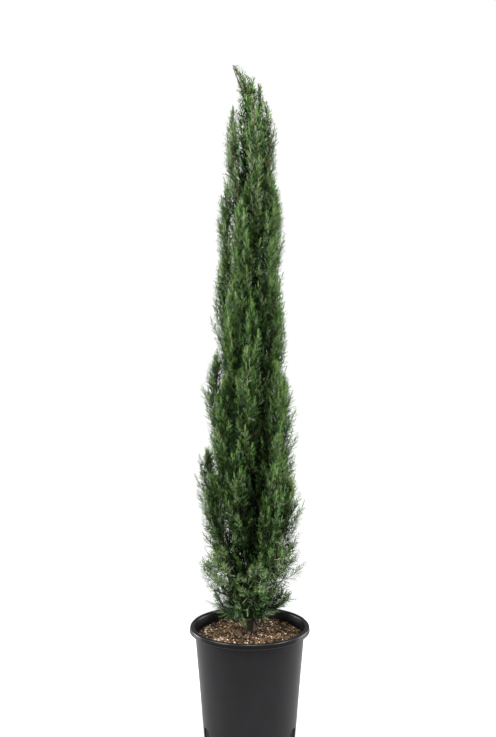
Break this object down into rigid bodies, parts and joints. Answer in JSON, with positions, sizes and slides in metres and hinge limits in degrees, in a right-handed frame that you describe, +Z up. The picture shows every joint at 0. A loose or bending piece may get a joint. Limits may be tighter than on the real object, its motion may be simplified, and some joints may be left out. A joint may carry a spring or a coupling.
{
  "type": "potted italian cypress tree",
  "caption": "Young italian cypress with a narrow flame-shaped crown of upright plumes, growing in a round black nursery pot.",
  "frame": {"origin": "centre of the pot's flat underside, which the plant stands on", "axes": "+Z up along the trunk, -Y towards the front, +X to the right of someone looking at the front; the leader nods towards -X"},
  "size_m": [0.28, 0.28, 1.557],
  "materials": {
    "pot": "semi-gloss black moulded plastic",
    "potting_mix": "rough brown bark mix with pale perlite and chips",
    "bark": "thin brown bark, finely furrowed lengthwise",
    "foliage": "matt dark green scale leaves in fine sprays",
    "juvenile_foliage": "matt blue-green juvenile leaves"
  },
  "bodies": {
    "root": {"bough_1": "bark", "bough_2": "bark", "bough_3": "bark", "bough_4": "bark", "bough_5": "bark", "bough_6": "bark", "bough_7": "bark", "foot_sprig_1": "juvenile_foliage", "foot_sprig_2": "juvenile_foliage", "foot_sprig_3": "juvenile_foliage", "foot_sprig_4": "juvenile_foliage", "foot_sprig_5": "juvenile_foliage", "high_plume_1": "foliage", "high_plume_2": "foliage", "high_plume_3": "foliage", "high_plume_4": "foliage", "high_plume_5": "foliage", "leader_plume": "foliage", "leader_sprig_1": "foliage", "leader_sprig_2": "foliage", "low_plume_1": "foliage", "low_plume_2": "foliage", "low_plume_3": "foliage", "low_plume_4": "foliage", "low_plume_5": "foliage", "low_plume_6": "foliage", "low_plume_7": "foliage", "low_plume_8": "foliage", "middle_plume_1": "foliage", "middle_plume_2": "foliage", "middle_plume_3": "foliage", "middle_plume_4": "foliage", "middle_plume_5": "foliage", "middle_plume_6": "foliage", "middle_plume_7": "foliage", "middle_plume_8": "foliage", "pot": "pot", "skirt_plume_1": "foliage", "skirt_plume_2": "foliage", "skirt_plume_3": "foliage", "skirt_plume_4": "foliage", "skirt_plume_5": "foliage", "skirt_plume_6": "foliage", "skirt_plume_7": "foliage", "skirt_plume_8": "foliage", "soil": "potting_mix", "top_plume_1": "foliage", "top_plume_2": "foliage", "top_plume_3": "foliage", "top_plume_4": "foliage", "top_plume_5": "foliage", "top_plume_6": "foliage", "trunk": "bark", "upper_plume_1": "foliage", "upper_plume_2": "foliage", "upper_plume_3": "foliage", "upper_plume_4": "foliage", "upper_plume_5": "foliage", "upper_plume_6": "foliage", "upper_plume_7": "foliage"}
  },
  "joints": []
}
